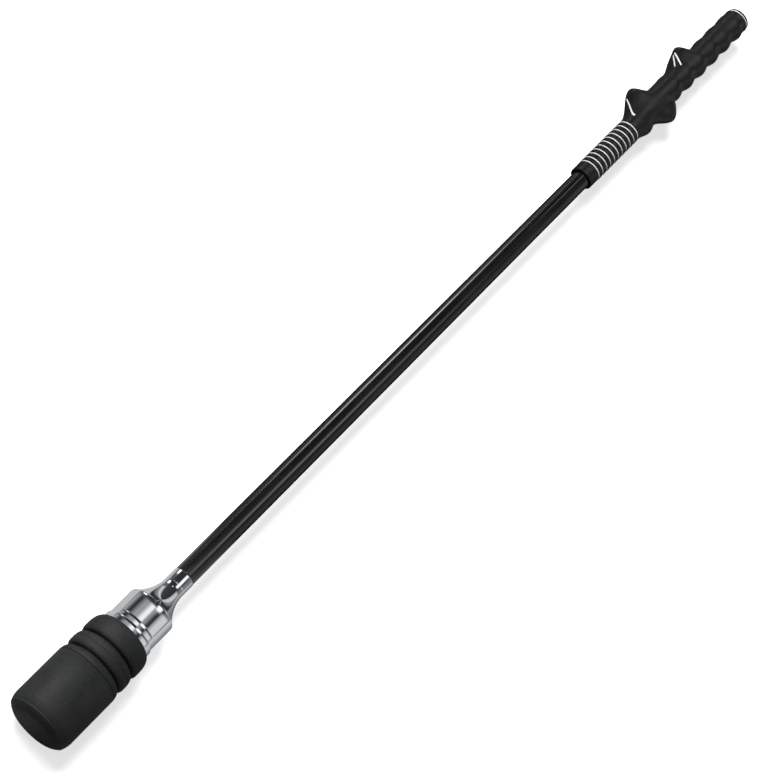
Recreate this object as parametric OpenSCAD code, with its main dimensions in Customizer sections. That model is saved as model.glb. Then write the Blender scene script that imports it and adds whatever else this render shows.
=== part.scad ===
// Swing trainer stick: a weighted rubber head that screws into a chrome bell,
// a tapered steel shaft and a moulded training grip.
// The stick lies along +X, with the head's end face at x = 0 and its axis on the X axis.
// +Y is the side that the thumb ledges stand on, and +Z is up.

/* [Head] */
// Diameter of the rubber head
head_d = 49; // [46:0.5:54]
// Length of the rubber head
head_len = 86; // [84:0.5:88]
// Diameter of the flat middle of the end face
end_flat_d = 30; // [20:1:36]
// Depth of the end face's soft crown
end_crown = 3.6; // [2:0.2:5]
// Diameter of the steel weight inside the rubber
core_d = 30; // [28:0.5:32]
// Where the steel weight starts, from the end face
core_start = 14; // [12:0.5:15]

/* [Chrome] */
// Diameter of the bell housing and the spacer ring
bell_d = 37; // [35:0.5:38.5]
// Diameter of the flange's lip
lip_d = 39.2; // [38.6:0.2:41]
// Width of the flange's lip
lip_w = 5; // [4.5:0.1:6]
// Width of the spacer ring
spacer_w = 4.6; // [4:0.1:6]
// Length of the bell's straight part
bell_len = 18; // [16:0.5:22]
// Length of the bell's flare
flare_len = 22.4; // [18:0.2:26]
// How sharply the flare curves
flare_power = 2.1; // [1.5:0.1:3]
// Diameter of the neck
neck_d = 16.6; // [16:0.1:18]
// Length of the neck
neck_len = 9.7; // [8:0.1:14]

/* [Thread] */
// Diameter of the core bolt
bolt_d = 14; // [12:1:14]
// Across-flats size of the bolt's head and the nut
hex_af = 21; // [20:0.5:21.5]
// Length of bolt that stands out of the flange
stud_len = 24; // [20:1:25]
// Radial clearance of the running fit
fit_gap = 0.08; // [0.02:0.01:0.1]

/* [Shaft] */
// Diameter of the shaft at the bell
shaft_d_head = 16; // [15:0.1:16.4]
// Diameter of the shaft in the grip
shaft_d_grip = 14.9; // [14.5:0.1:15]
// Diameter of the shaft's bore
shaft_bore_d = 12.6; // [12:0.1:13]
// Length of the shaft that shows between the bell and the grip
shaft_visible = 455; // [380:1:640]

/* [Grip] */
// Length of the grip sleeve, without the end cap
grip_len = 213.3; // [208:0.1:220]
// Thickness of the tape under the grip
tape_t = 0.25; // [0.1:0.05:0.4]
// Mean radius at the collar
collar_r = 9.6; // [9.4:0.1:10.5]
// Mean radius of the rear part
rear_r = 10.5; // [10.3:0.1:11.5]
// How far the rear part's centre stands towards the ledges
rear_shift = 1.7; // [0:0.1:1.8]
// Number of white rings
ring_count = 11; // [7:1:11]
// Distance between white rings
ring_pitch = 5.11; // [4.6:0.01:5.2]
// Width of a white ring
ring_w = 0.95; // [0.6:0.05:1.4]
// Height of the front thumb ledge
front_ledge_h = 10.9; // [6:0.1:13]
// Height of the rear thumb ledge
rear_ledge_h = 8.4; // [5:0.2:11]
// Height of the finger lobe
lobe_h = 9.4; // [4:0.2:10]
// Distance between finger waves
wave_pitch = 17.2; // [15:0.1:20]

/* [Hidden] */
$fn = 96;

// Places along the stick
core_end = head_len - 14;
lip_end = head_len + lip_w;
spacer_end = lip_end + spacer_w;
bell_end = spacer_end + bell_len;
flare_end = bell_end + flare_len;
neck_end = flare_end + neck_len;
grip_start = neck_end + shaft_visible;
grip_end = grip_start + grip_len;
butt_ring_w = 1.2;
cap_w = 3;
cap_end = grip_end + butt_ring_w + cap_w;
shaft_end = grip_end - 3.4;

// Radii
head_r = head_d / 2;
bell_r = bell_d / 2;
lip_r = lip_d / 2;
neck_r = neck_d / 2;
bolt_r = bolt_d / 2;
core_r = core_d / 2;
hub_r = core_r + 2;
shaft_bore_r = shaft_bore_d / 2;
grip_shaft_r = shaft_d_grip / 2;
grip_bore_r = grip_shaft_r + tape_t;

// Bolt stack: counterbore, washers and nut
nut_corner_r = hex_af / 2 / cos(30);
bolt_head_start = core_start + 1;
bolt_head_h = 8.8;
counterbore_depth = 12;
washer_t = core_start + counterbore_depth - bolt_head_start - bolt_head_h;
nut_t = 7.4;
lock_t = 2.2;
recess_depth = 10;
recess_r = nut_corner_r + 0.7;
recess_start = lip_end - recess_depth;

// Socket in the bell
insert_r = 10.5;
insert_len = 21.7;
insert_inset = 0.3;
insert_end = spacer_end + insert_inset + insert_len;
spigot_start = insert_end + 4.6;
spigot_end = neck_end + 36;
seal_r_in = 11;
seal_r_out = 15.5;
seal_t = 1.2;

// Grip places, measured from the grip's mouth
first_ring = 10.6;
rib_end = 65.5;
overlap = 0.8;

// A profile of [radius, x] points turned about the X axis
module turned(points) {
    rotate([0, 90, 0])
        rotate_extrude()
            polygon(points);
}

// A plain tube along X
module tube_x(x0, x1, r_out, r_in) {
    turned([[r_in, x0], [r_out, x0], [r_out, x1], [r_in, x1]]);
}

// A hexagonal bar along X
module hex_x(x0, x1, across_flats) {
    translate([x0, 0, 0])
        rotate([0, 90, 0])
            cylinder(h = x1 - x0, r = across_flats / 2 / cos(30), $fn = 6);
}

// A round bar along X
module bar_x(x0, x1, r) {
    translate([x0, 0, 0])
        rotate([0, 90, 0])
            cylinder(h = x1 - x0, r = r);
}

// Quarter-ellipse shoulders of a band: one climbs to radius r, the other drops from it
function rising(x0, r, drop, len, steps = 5) =
    [for (i = [0:steps]) let (a = 90 * i / steps)
        [r - drop * (1 - sin(a)), x0 + len * (1 - cos(a))]];
function falling(x1, r, drop, len, steps = 5) =
    [for (i = [0:steps]) let (a = 90 * i / steps)
        [r - drop * (1 - cos(a)), x1 - len * (1 - sin(a))]];

// Soft end of the head: a shallow crown, then a rounded edge
function end_crown_points(steps = 5) =
    [for (i = [0:steps]) let (t = i / steps)
        [end_flat_d / 2 + (head_r - 0.7 - end_flat_d / 2) * t, end_crown * pow(t, 2.2)]];
function end_edge_points(steps = 4) =
    [for (i = [1:steps]) let (t = i / steps)
        [head_r - 0.7 * pow(1 - t, 2), end_crown + 4.4 * t]];

groove_1 = head_len - 30.2;
groove_2 = head_len - 16.8;
band_r = head_r - 0.45;
rear_band_r = head_r - 0.8;

module rubber_cover() {
    outline = concat(
        [[0, 0]], end_crown_points(), end_edge_points(),
        falling(groove_1, head_r, 2.4, 6),
        rising(groove_1, band_r, 2, 3),
        falling(groove_2, band_r, 2, 3),
        rising(groove_2, rear_band_r, 1.8, 3),
        falling(head_len, rear_band_r, 4.4, 9.5),
        [[hub_r, head_len], [hub_r, core_end], [core_r, core_end], [core_r, core_start], [0, core_start]]);
    color("#2b2c2d")
        turned(outline);
}

module weight_core() {
    color("#8d9094")
        difference() {
            tube_x(core_start, core_end, core_r, bolt_r);
            bar_x(core_start - 1, core_start + counterbore_depth, nut_corner_r + 0.3);
        }
}

module core_bolt() {
    head_end = bolt_head_start + bolt_head_h;
    tip = lip_end + stud_len;
    color("#a2a5a8") {
        hex_x(bolt_head_start, head_end, hex_af);
        turned([[0, head_end - 0.5], [bolt_r, head_end - 0.5], [bolt_r, tip - 1.3],
            [bolt_r - 1.3, tip], [0, tip]]);
    }
}

module core_washer() {
    x0 = bolt_head_start + bolt_head_h;
    color("#b3b5b8")
        tube_x(x0, x0 + washer_t, nut_corner_r + 0.1, bolt_r);
}

module lock_washer() {
    slot_w = 1.8;
    color("#7e8184")
        difference() {
            tube_x(recess_start, recess_start + lock_t, 11.6, bolt_r);
            translate([recess_start - 1, 0, -slot_w / 2])
                cube([lock_t + 2, 20, slot_w]);
        }
}

module jam_nut() {
    x0 = recess_start + lock_t;
    color("#a2a5a8")
        difference() {
            hex_x(x0, x0 + nut_t, hex_af);
            bar_x(x0 - 1, x0 + nut_t + 1, bolt_r);
        }
}

module head_flange() {
    edge = 0.5;
    color("#d5d8dc")
        turned([
            [bolt_r, core_end], [hub_r, core_end], [hub_r, head_len], [lip_r - edge, head_len],
            [lip_r, head_len + edge], [lip_r, lip_end - edge], [lip_r - edge, lip_end],
            [recess_r, lip_end], [recess_r, recess_start], [bolt_r, recess_start]]);
}

module spacer_ring() {
    edge = 0.3;
    color("#dde0e3")
        turned([
            [bolt_r + fit_gap, lip_end], [bell_r - edge, lip_end], [bell_r, lip_end + edge],
            [bell_r, spacer_end - edge], [bell_r - edge, spacer_end], [seal_r_out, spacer_end],
            [seal_r_out, spacer_end - seal_t], [seal_r_in, spacer_end - seal_t],
            [seal_r_in, spacer_end], [bolt_r + fit_gap, spacer_end]]);
}

module spacer_seal() {
    color("#1c1c1e")
        tube_x(spacer_end - seal_t, spacer_end, seal_r_out, seal_r_in);
}

module socket_insert() {
    color("#9a9488")
        tube_x(spacer_end + insert_inset, insert_end, insert_r, bolt_r + fit_gap);
}

// Radius of the flare at a fraction t of its length
function flare_r(t) = neck_r + (bell_r - 1.2 - neck_r) * pow(1 - t, flare_power);

module bell_housing() {
    edge = 0.3;
    steps = 16;
    flare = [for (i = [0:steps]) let (t = i / steps) [flare_r(t), bell_end + 0.3 + (flare_len - 0.3) * t]];
    outline = concat(
        [[insert_r, spacer_end], [bell_r - edge, spacer_end], [bell_r, spacer_end + edge]],
        [[bell_r, bell_end - 0.8], [bell_r - 0.4, bell_end]],
        flare,
        [[neck_r, neck_end - 0.4], [neck_r - 0.4, neck_end]],
        [[shaft_bore_r, neck_end], [shaft_bore_r, spigot_start], [bolt_r + 0.6, spigot_start]],
        [[bolt_r + 0.6, insert_end], [insert_r, insert_end]]);
    color("#e2e5e8")
        turned(outline);
}

module shaft_spigot() {
    edge = 1;
    color("#8d9094")
        turned([
            [0, spigot_start], [shaft_bore_r, spigot_start], [shaft_bore_r, spigot_end - edge],
            [shaft_bore_r - edge, spigot_end], [0, spigot_end]]);
}

module shaft_tube() {
    color("#0d0d0f")
        turned([
            [shaft_bore_r, neck_end], [shaft_d_head / 2, neck_end], [grip_shaft_r, grip_start],
            [grip_shaft_r, shaft_end], [shaft_bore_r, shaft_end]]);
}

module grip_tape() {
    color("#cfc7b4")
        tube_x(grip_start + 3, shaft_end, grip_bore_r, grip_shaft_r);
}

// Smooth step from 0 to 1, and a lopsided bump that climbs from a to p and falls to b
function step01(t) = let (c = min(1, max(0, t))) c * c * (3 - 2 * c);
function bump(x, a, p, b, k_up = 1, k_down = 1) =
    x < p ? pow(step01((x - a) / (p - a)), k_up) : pow(step01((b - x) / (b - p)), k_down);
// Bell curve round the grip, with its centre and width in degrees
function wrapped(d) = abs((d + 540) % 360 - 180);
function lobe_at(th, centre, width) = exp(-pow(wrapped(th - centre) / width, 2));

// Grip radius at g from the mouth and angle th, where th = 0 is +Y and th = 90 is +Z:
// a slightly shifted round, plus two thumb ledges, a finger lobe, a swelling and finger waves
function grip_r(g, th) =
    let (
        grow = step01((g - 61) / 38),
        round = collar_r + (rear_r - collar_r) * grow
            + (0.2 + (rear_shift - 0.2) * grow) * cos(th),
        front = front_ledge_h * bump(g, 65, 90, 102.5) * lobe_at(th, 4, 30),
        rear = rear_ledge_h * bump(g, 118, 149.5, 158.5, 1.6, 0.8) * lobe_at(th, 6, 30),
        lobe = lobe_h * bump(g, 84, 99, 113.5, 0.7, 0.6) * lobe_at(th, 172, 27),
        swell = 3 * bump(g, 64, 76, 88) * lobe_at(th, 180, 40),
        span = step01((g - 111) / 8) * step01((grip_len - g) / 8),
        depth = 0.4 + 0.5 * step01((108 - wrapped(th - 180)) / 90),
        wave = depth * span * cos(360 * (g - 118) / wave_pitch))
    round + front + rear + lobe + swell + wave;
function grip_point(g, th, lift = 0) =
    let (r = grip_r(g, th) + lift) [grip_start + g, r * cos(th), r * sin(th)];

// Collar and ribbed part, with a groove for each white ring and a low rib between two rings
module grip_front() {
    groove_r = collar_r - 0.6;
    root_r = collar_r - 0.35;
    function groove(c) = [
        [collar_r, c - ring_w / 2], [groove_r, c - ring_w / 2],
        [groove_r, c + ring_w / 2], [collar_r, c + ring_w / 2]];
    function rib(c) = [[collar_r + 0.25, c + 1.6], [collar_r + 0.25, c + ring_pitch - 1.6]];
    ribs = [for (i = [0:ring_count - 1]) let (c = grip_start + first_ring + i * ring_pitch)
        each concat(groove(c), i < ring_count - 1 ? rib(c) : [])];
    turned(concat(
        [[grip_bore_r, grip_start + 3], [grip_bore_r + 0.9, grip_start]],
        [[collar_r - 0.4, grip_start], [collar_r - 0.1, grip_start + 0.4]],
        ribs,
        [[collar_r, grip_start + rib_end - 0.6], [root_r, grip_start + rib_end - 0.3]],
        [[root_r, grip_start + rib_end + overlap], [grip_bore_r, grip_start + rib_end + overlap]]));
}

// Sculpted rear part, swept along the axis
module grip_rear(sides = 40, rows = 58) {
    g0 = rib_end;
    points = [for (j = [0:rows]) for (i = [0:sides - 1])
        grip_point(g0 + (grip_len - g0) * j / rows, 360 * i / sides)];
    skin = [for (j = [0:rows - 1]) for (i = [0:sides - 1])
        let (a = j * sides + i, b = j * sides + (i + 1) % sides)
            each [[a, b + sides, b], [a, a + sides, b + sides]]];
    front_cap = [[for (i = [0:sides - 1]) i]];
    back_cap = [[for (i = [sides - 1:-1:0]) rows * sides + i]];
    polyhedron(points = points, faces = concat(skin, front_cap, back_cap), convexity = 6);
}

module grip_sleeve() {
    color("#232425") {
        grip_front();
        difference() {
            grip_rear();
            bar_x(grip_start, grip_end + 1, grip_bore_r);
        }
    }
}

module ring_inlays() {
    color("white")
        for (i = [0:ring_count - 1]) {
            c = grip_start + first_ring + i * ring_pitch;
            tube_x(c - ring_w / 2, c + ring_w / 2, collar_r + 0.15, collar_r - 0.6);
        }
}

// Painted stroke that follows the grip's surface from one [g, th] place to another
module stroke(from, to, bow = 0, width = 1.5, steps = 9) {
    points = [for (j = [0:steps])
        let (
            t = j / steps,
            g = from[0] + (to[0] - from[0]) * t + bow * sin(180 * t),
            th = from[1] + (to[1] - from[1]) * t)
        each [
            grip_point(g - width / 2, th, -0.7), grip_point(g - width / 2, th, 0.12),
            grip_point(g + width / 2, th, 0.12), grip_point(g + width / 2, th, -0.7)]];
    sides = [for (j = [0:steps - 1]) for (i = [0:3])
        let (a = 4 * j + i, b = 4 * j + (i + 1) % 4)
            each [[a, a + 4, b + 4], [a, b + 4, b]]];
    last = 4 * steps;
    ends = [[0, 1, 2, 3], [last + 3, last + 2, last + 1, last]];
    polyhedron(points = points, faces = concat(sides, ends), convexity = 4);
}

module ledge_v_mark() {
    color("white") {
        stroke([142.1, 13.2], [132.6, 37.8], -0.6);
        stroke([144.4, 14.4], [136.7, 52.4], -0.8);
    }
}

module ledge_line_mark() {
    color("white")
        stroke([81.5, 7.3], [71.6, 58], -2.6, 1.8);
}

module butt_ring() {
    color("white")
        difference() {
            translate([0, rear_shift, 0])
                bar_x(grip_end, grip_end + butt_ring_w, rear_r + 0.05);
            bar_x(grip_end - 1, grip_end + butt_ring_w + 1, grip_bore_r);
        }
}

module butt_cap() {
    edge = 1.6;
    rim = cap_end - cap_w;
    color("#1d1d1f")
        difference() {
            union() {
                translate([0, rear_shift, 0])
                    turned([[0, rim], [rear_r - 0.1, rim], [rear_r - 0.1, cap_end - edge],
                        [rear_r - 0.6, cap_end - 0.5], [rear_r - edge - 0.2, cap_end], [0, cap_end]]);
                bar_x(shaft_end, rim + 1, grip_bore_r);
                bar_x(shaft_end - 16, shaft_end + 1, shaft_bore_r);
            }
            bar_x(shaft_end - 17, cap_end + 1, 1.25);
        }
}

rubber_cover();
weight_core();
core_bolt();
core_washer();
lock_washer();
jam_nut();
head_flange();
spacer_ring();
spacer_seal();
socket_insert();
bell_housing();
shaft_spigot();
shaft_tube();
grip_tape();
grip_sleeve();
ring_inlays();
ledge_v_mark();
ledge_line_mark();
butt_ring();
butt_cap();
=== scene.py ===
import math
import bpy
import numpy as np
from mathutils import Matrix, Vector


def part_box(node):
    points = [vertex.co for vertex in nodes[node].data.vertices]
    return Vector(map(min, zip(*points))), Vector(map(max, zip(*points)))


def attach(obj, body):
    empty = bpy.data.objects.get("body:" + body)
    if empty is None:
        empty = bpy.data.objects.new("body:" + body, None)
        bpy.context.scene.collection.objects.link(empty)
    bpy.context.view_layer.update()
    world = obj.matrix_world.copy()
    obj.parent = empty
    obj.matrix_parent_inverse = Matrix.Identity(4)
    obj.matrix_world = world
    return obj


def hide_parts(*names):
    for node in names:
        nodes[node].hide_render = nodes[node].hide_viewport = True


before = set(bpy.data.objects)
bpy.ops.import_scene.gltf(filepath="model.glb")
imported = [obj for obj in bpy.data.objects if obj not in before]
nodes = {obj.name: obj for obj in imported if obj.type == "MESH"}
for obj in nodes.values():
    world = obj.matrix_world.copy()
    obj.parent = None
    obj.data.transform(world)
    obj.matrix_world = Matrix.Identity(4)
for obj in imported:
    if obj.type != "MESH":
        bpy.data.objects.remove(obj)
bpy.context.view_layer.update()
print("frame loaded")

mm = 0.001
scene = bpy.context.scene


def span(node):  # where a CAD node starts and ends along the stick, in millimetres
    low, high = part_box(node)
    return low.x / mm, high.x / mm


def radiusOf(node):  # outer radius of a round CAD node, in millimetres
    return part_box(node)[1].z / mm


# the camera looks down at the lying stick from the head's side, rolled so that the stick runs corner to corner
view = {"distance": 1.7059, "lens": 111.2, "tilt": 28.0, "roll": 45.2, "along": 0.43583, "aside": -0.0083,
        "clipEnd": 50}
stickLength = span("butt_cap")[1] * mm


def placeCamera():
    tilt, roll = math.radians(view["tilt"]), math.radians(view["roll"])
    alongStick = Vector((math.cos(tilt), 0, math.sin(tilt)))
    across = Vector((0, 1, 0))
    back = Vector((-math.sin(tilt), 0, math.cos(tilt)))
    right = math.cos(roll) * alongStick - math.sin(roll) * across
    up = math.sin(roll) * alongStick + math.cos(roll) * across
    target = Vector((view["along"] * stickLength, view["aside"], 0))
    data = bpy.data.cameras.new("camera")
    data.lens = view["lens"]
    data.clip_end = view["clipEnd"]
    camera = bpy.data.objects.new("camera", data)
    scene.collection.objects.link(camera)
    turn = Matrix((right, up, back)).transposed().to_4x4()
    camera.matrix_world = Matrix.Translation(target + back * view["distance"]) @ turn
    scene.camera = camera


placeCamera()
scene.view_settings.view_transform = "Standard"  # keeps the whites clean
print("camera placed")


weldDistance = 0.000001  # metres


def gridMesh(name, points, wrap=True, closeStart=False, closeEnd=False):
    # points is (rows, columns, 3) in metres; rows run along the piece and columns round it, and each cell is one quad
    rows, columns = points.shape[:2]
    index = np.arange(rows * columns).reshape(rows, columns)
    if wrap:
        index = np.hstack([index, index[:, :1]])
    quads = np.stack([index[:-1, :-1], index[:-1, 1:], index[1:, 1:], index[1:, :-1]], -1).reshape(-1, 4)
    vertices = points.reshape(-1, 3)
    faces = quads.tolist()
    if closeStart:
        faces.append(index[0, :columns][::-1].tolist())
    if closeEnd:
        faces.append(index[-1, :columns].tolist())
    mesh = bpy.data.meshes.new(name)
    mesh.from_pydata(vertices, [], faces)
    mesh.update()
    mesh.polygons.foreach_set("use_smooth", np.ones(len(mesh.polygons), bool))
    piece = bpy.data.objects.new(name, mesh)
    scene.collection.objects.link(piece)
    return piece


def turned(name, profile, sides=160, centreY=0.0, closed=True):
    # a profile of (x, radius) in millimetres carried round the X axis: y = centre + r cos(angle), z = r sin(angle);
    # centreY is one number, or one for each point of the profile
    angle = np.linspace(0, 2 * np.pi, sides, endpoint=False)
    x, r = np.asarray(profile, float).T
    centre = np.broadcast_to(np.asarray(centreY, float), x.shape)
    if closed:
        x, r, centre = np.append(x, x[0]), np.append(r, r[0]), np.append(centre, centre[0])
    ring = np.stack([np.ones_like(angle), np.cos(angle), np.sin(angle)], -1)
    points = ring[None] * np.stack([x, r, r], -1)[:, None]
    points[..., 1] += centre[:, None]
    if closed:
        return closeLoop(gridMesh(name, points * mm))
    return gridMesh(name, points * mm, closeStart=True, closeEnd=True)


def closeLoop(piece):  # joins the last row of a closed profile to its first
    merge = piece.modifiers.new("merge", "WELD")
    merge.merge_threshold = weldDistance
    return piece


def rounded(corners, steps=6):
    # corners are (x, radius, fillet) in millimetres; each fillet is a quadratic arc between points that far
    # along the two edges: p(t) = (1-t)^2 a + 2 t (1-t) corner + t^2 b
    corners = np.asarray(corners, float)
    place, fillet = corners[:, :2], corners[:, 2]
    before, after = np.roll(place, 1, 0) - place, np.roll(place, -1, 0) - place
    lengthBefore = np.linalg.norm(before, axis=1, keepdims=True)
    lengthAfter = np.linalg.norm(after, axis=1, keepdims=True)
    most = 0.49  # the share of an edge that one fillet may take
    start = place + before / lengthBefore * np.minimum(fillet[:, None], lengthBefore * most)
    stop = place + after / lengthAfter * np.minimum(fillet[:, None], lengthAfter * most)
    t = np.linspace(0, 1, steps)[None, :, None]
    arcs = (1 - t) ** 2 * start[:, None] + 2 * t * (1 - t) * place[:, None] + t ** 2 * stop[:, None]
    return arcs.reshape(-1, 2)


def ringsAt(angle, pairs):
    # one row of points for each (x, radius) pair, with the same radius all the way round
    return np.array([np.stack([np.full_like(angle, x), np.full_like(angle, radius)], -1) for x, radius in pairs])


def wrapRound(grid, angle):
    # millimetres (x, radius) at an angle in radians become metres (x, radius cos(angle), radius sin(angle))
    return np.stack([grid[..., 0], grid[..., 1] * np.cos(angle), grid[..., 1] * np.sin(angle)], -1) * mm


def smoothStep(t):  # 3 t^2 - 2 t^3 between 0 and 1, and flat outside
    c = np.clip(t, 0, 1)
    return c * c * (3 - 2 * c)


def finish(piece, body, material, slot, *replaced):
    piece.data.materials.clear()
    piece.data.materials.append(material)
    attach(piece, body)
    if replaced:
        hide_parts(*replaced)
    return piece


# effects that several materials share, as node groups
def newGroup(name, inputs, outputs):
    group = bpy.data.node_groups.new(name, "ShaderNodeTree")
    for label, kind, default in inputs:
        socket = group.interface.new_socket(label, in_out="INPUT", socket_type=kind)
        socket.default_value = default
    for label, kind in outputs:
        group.interface.new_socket(label, in_out="OUTPUT", socket_type=kind)
    return group, group.nodes.new("NodeGroupInput"), group.nodes.new("NodeGroupOutput")


def noiseNode(tree, detail):
    noise = tree.nodes.new("ShaderNodeTexNoise")
    noise.inputs["Detail"].default_value = detail
    noise.inputs["Roughness"].default_value = 0.55
    return noise


def mathNode(tree, operation, a, b=None):
    node = tree.nodes.new("ShaderNodeMath")
    node.operation = operation
    for socket, value in zip(node.inputs, (a, b)):
        if value is None:
            continue
        if isinstance(value, (int, float)):
            socket.default_value = value
        else:
            tree.links.new(value, socket)
    return node.outputs[0]


def rangeNode(tree, value, low, high, toLow=0.0, toHigh=1.0):
    node = tree.nodes.new("ShaderNodeMapRange")
    tree.links.new(value, node.inputs["Value"])
    for label, number in (("From Min", low), ("From Max", high), ("To Min", toLow), ("To Max", toHigh)):
        node.inputs[label].default_value = number
    return node.outputs[0]


grainMix = {"spread": (0.3, 0.7), "speckSpread": (0.62, 0.72), "speckFiner": 1.7, "fineShare": 0.6,
            "slowShare": 0.4, "roughnessSwing": 0.06}


def makeMouldedGrain():
    # fine rounded grain of a moulded rubber, with slow cloudy tone and a few pale specks
    group, entry, leave = newGroup(
        "mouldedGrain",
        [("Grain Scale", "NodeSocketFloat", 900.0), ("Cloud Scale", "NodeSocketFloat", 40.0),
         ("Dark", "NodeSocketColor", (0.02, 0.02, 0.02, 1)), ("Light", "NodeSocketColor", (0.05, 0.05, 0.05, 1)),
         ("Speck Amount", "NodeSocketFloat", 0.3)],
        [("Color", "NodeSocketColor"), ("Height", "NodeSocketFloat"), ("Roughness", "NodeSocketFloat")])
    place = group.nodes.new("ShaderNodeTexCoord")
    grain, cloud, speck = noiseNode(group, 2), noiseNode(group, 4), noiseNode(group, 1)
    for node, label in ((grain, "Grain Scale"), (cloud, "Cloud Scale")):
        group.links.new(place.outputs["Object"], node.inputs["Vector"])
        group.links.new(entry.outputs[label], node.inputs["Scale"])
    group.links.new(place.outputs["Object"], speck.inputs["Vector"])
    speckScale = mathNode(group, "MULTIPLY", entry.outputs["Grain Scale"], grainMix["speckFiner"])
    group.links.new(speckScale, speck.inputs["Scale"])
    fine = rangeNode(group, grain.outputs["Fac"], *grainMix["spread"])
    slow = rangeNode(group, cloud.outputs["Fac"], *grainMix["spread"])
    specks = rangeNode(group, speck.outputs["Fac"], *grainMix["speckSpread"])
    tone = mathNode(group, "ADD", mathNode(group, "MULTIPLY", fine, grainMix["fineShare"]),
                    mathNode(group, "MULTIPLY", slow, grainMix["slowShare"]))
    tone = mathNode(group, "ADD", tone, mathNode(group, "MULTIPLY", specks, entry.outputs["Speck Amount"]))
    mix = group.nodes.new("ShaderNodeMix")
    mix.data_type = "RGBA"
    group.links.new(tone, mix.inputs["Factor"])
    group.links.new(entry.outputs["Dark"], mix.inputs["A"])
    group.links.new(entry.outputs["Light"], mix.inputs["B"])
    group.links.new(mix.outputs["Result"], leave.inputs["Color"])
    group.links.new(fine, leave.inputs["Height"])
    swing = grainMix["roughnessSwing"]
    group.links.new(rangeNode(group, slow, 0, 1, -swing, swing), leave.inputs["Roughness"])
    return group


handling = {"stretch": 0.04, "smearSpread": (0.42, 0.68), "hairlineSpread": (0.55, 0.75)}


def makeHandling():
    # smears and fine hairline marks left by handling, drawn out along the stick
    group, entry, leave = newGroup(
        "handlingMarks",
        [("Smear Scale", "NodeSocketFloat", 30.0), ("Hairline Scale", "NodeSocketFloat", 1200.0)],
        [("Smear", "NodeSocketFloat"), ("Hairlines", "NodeSocketFloat")])
    place = group.nodes.new("ShaderNodeTexCoord")
    stretch = group.nodes.new("ShaderNodeMapping")
    stretch.inputs["Scale"].default_value = (handling["stretch"], 1, 1)
    group.links.new(place.outputs["Object"], stretch.inputs["Vector"])
    smear, hair = noiseNode(group, 5), noiseNode(group, 2)
    group.links.new(place.outputs["Object"], smear.inputs["Vector"])
    group.links.new(stretch.outputs["Vector"], hair.inputs["Vector"])
    group.links.new(entry.outputs["Smear Scale"], smear.inputs["Scale"])
    group.links.new(entry.outputs["Hairline Scale"], hair.inputs["Scale"])
    group.links.new(rangeNode(group, smear.outputs["Fac"], *handling["smearSpread"]), leave.inputs["Smear"])
    group.links.new(rangeNode(group, hair.outputs["Fac"], *handling["hairlineSpread"]), leave.inputs["Hairlines"])
    return group


edgeWear = {"edgeSpread": (0.52, 0.62), "breakSpread": (0.4, 0.65)}


def makeEdgeWear():
    # how exposed a spot is, from the surface's pointiness, broken up by noise
    group, entry, leave = newGroup(
        "edgeWear", [("Amount", "NodeSocketFloat", 0.5), ("Scale", "NodeSocketFloat", 300.0)],
        [("Mask", "NodeSocketFloat")])
    place = group.nodes.new("ShaderNodeTexCoord")
    geometry = group.nodes.new("ShaderNodeNewGeometry")
    breakUp = noiseNode(group, 4)
    group.links.new(place.outputs["Object"], breakUp.inputs["Vector"])
    group.links.new(entry.outputs["Scale"], breakUp.inputs["Scale"])
    edge = rangeNode(group, geometry.outputs["Pointiness"], *edgeWear["edgeSpread"])
    broken = rangeNode(group, breakUp.outputs["Fac"], *edgeWear["breakSpread"])
    worn = mathNode(group, "MULTIPLY", edge, broken)
    group.links.new(mathNode(group, "MULTIPLY", worn, entry.outputs["Amount"]), leave.inputs["Mask"])
    return group


grainGroup = makeMouldedGrain()
handlingGroup = makeHandling()
wearGroup = makeEdgeWear()


def placeGroup(tree, group, **values):
    node = tree.nodes.new("ShaderNodeGroup")
    node.node_tree = group
    for label, value in values.items():
        node.inputs[label.replace("_", " ")].default_value = value
    return node


def newMaterial(name, **values):
    material = bpy.data.materials.new(name)
    material.use_nodes = True
    shader = material.node_tree.nodes["Principled BSDF"]
    for label, value in values.items():
        shader.inputs[label.replace("_", " ")].default_value = value
    return material, material.node_tree, shader


def addBump(tree, shader, height, strength, distance):
    bump = tree.nodes.new("ShaderNodeBump")
    bump.inputs["Strength"].default_value = strength
    bump.inputs["Distance"].default_value = distance
    tree.links.new(height, bump.inputs["Height"])
    tree.links.new(bump.outputs["Normal"], shader.inputs["Normal"])


def mouldedRubber(name, look):
    # grained rubber, paler where its edges are worn
    material, tree, shader = newMaterial(name, Specular_IOR_Level=look["specular"])
    grain = placeGroup(tree, grainGroup, Grain_Scale=look["grain"], Cloud_Scale=look["cloud"],
                       Dark=(*look["dark"], 1), Light=(*look["light"], 1), Speck_Amount=look["specks"])
    wear = placeGroup(tree, wearGroup, Amount=look["wear"], Scale=look["wearScale"])
    mix = tree.nodes.new("ShaderNodeMix")
    mix.data_type = "RGBA"
    tree.links.new(wear.outputs["Mask"], mix.inputs["Factor"])
    tree.links.new(grain.outputs["Color"], mix.inputs["A"])
    mix.inputs["B"].default_value = (*look["worn"], 1)
    tree.links.new(mix.outputs["Result"], shader.inputs["Base Color"])
    tree.links.new(mathNode(tree, "ADD", grain.outputs["Roughness"], look["roughness"]), shader.inputs["Roughness"])
    addBump(tree, shader, grain.outputs["Height"], look["bump"], look["depth"])
    return material


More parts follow.
